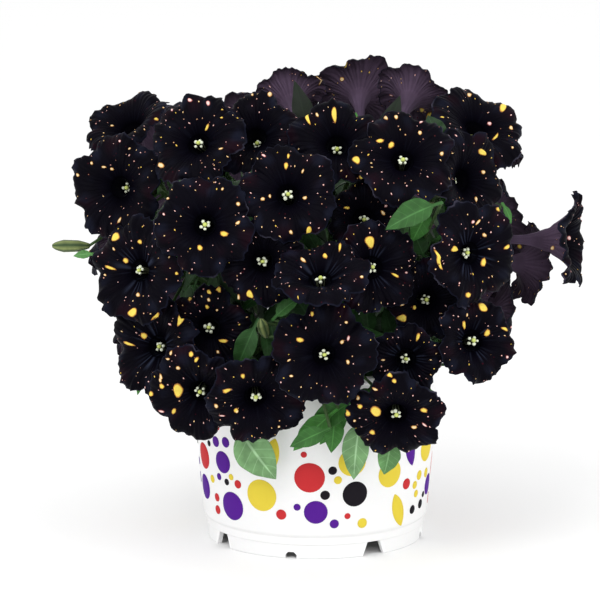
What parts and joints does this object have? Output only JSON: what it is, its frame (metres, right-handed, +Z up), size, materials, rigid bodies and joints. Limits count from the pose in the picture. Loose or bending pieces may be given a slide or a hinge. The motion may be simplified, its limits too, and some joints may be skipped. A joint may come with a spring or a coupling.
{
  "type": "potted petunia",
  "caption": "Flowering petunia in a round white plastic pot: leafy stems with a dome of dark, ruffled, trumpet-shaped blooms flecked with yellow and cream.",
  "frame": {"origin": "on the ground under the pot's axis, which is within 2.2 mm of the middle of the bounding box", "axes": "+Z up; the pictured side faces -Y; +X is to the viewer's right"},
  "size_m": [0.2791, 0.2539, 0.252],
  "materials": {
    "white_plastic": "satin",
    "potting_soil": "matte",
    "green_leaf": "satin",
    "dark_petal": "satin"
  },
  "bodies": {
    "root": {"pot": "white_plastic", "soil": "potting_soil", "bloom_01": "dark_petal", "bloom_02": "dark_petal", "bloom_03": "dark_petal", "bloom_04": "dark_petal", "bloom_05": "dark_petal", "bloom_06": "dark_petal", "bloom_07": "dark_petal", "bloom_08": "dark_petal", "bloom_09": "dark_petal", "bloom_10": "dark_petal", "bloom_11": "dark_petal", "bloom_12": "dark_petal", "bloom_13": "dark_petal", "bloom_14": "dark_petal", "bloom_15": "dark_petal", "bloom_16": "dark_petal", "bloom_17": "dark_petal", "bloom_18": "dark_petal", "bloom_19": "dark_petal", "bloom_20": "dark_petal", "bloom_21": "dark_petal", "bloom_22": "dark_petal", "bloom_23": "dark_petal", "bloom_24": "dark_petal", "bloom_25": "dark_petal", "bloom_26": "dark_petal", "bloom_27": "dark_petal", "bloom_28": "dark_petal", "bloom_29": "dark_petal", "bloom_30": "dark_petal", "bloom_31": "dark_petal", "bloom_32": "dark_petal", "bloom_33": "dark_petal", "bloom_34": "dark_petal", "bloom_35": "dark_petal", "bloom_36": "dark_petal", "bloom_37": "dark_petal", "bloom_38": "dark_petal", "bloom_39": "dark_petal", "bloom_40": "dark_petal", "bloom_41": "dark_petal", "bloom_42": "dark_petal", "bloom_43": "dark_petal", "bloom_44": "dark_petal", "bloom_45": "dark_petal", "bloom_46": "dark_petal", "bloom_47": "dark_petal", "stem_1": "green_leaf", "stem_2": "green_leaf", "stem_3": "green_leaf", "stem_4": "green_leaf", "stem_5": "green_leaf", "stem_6": "green_leaf", "stem_7": "green_leaf", "stem_8": "green_leaf", "stem_9": "green_leaf"}
  },
  "joints": []
}
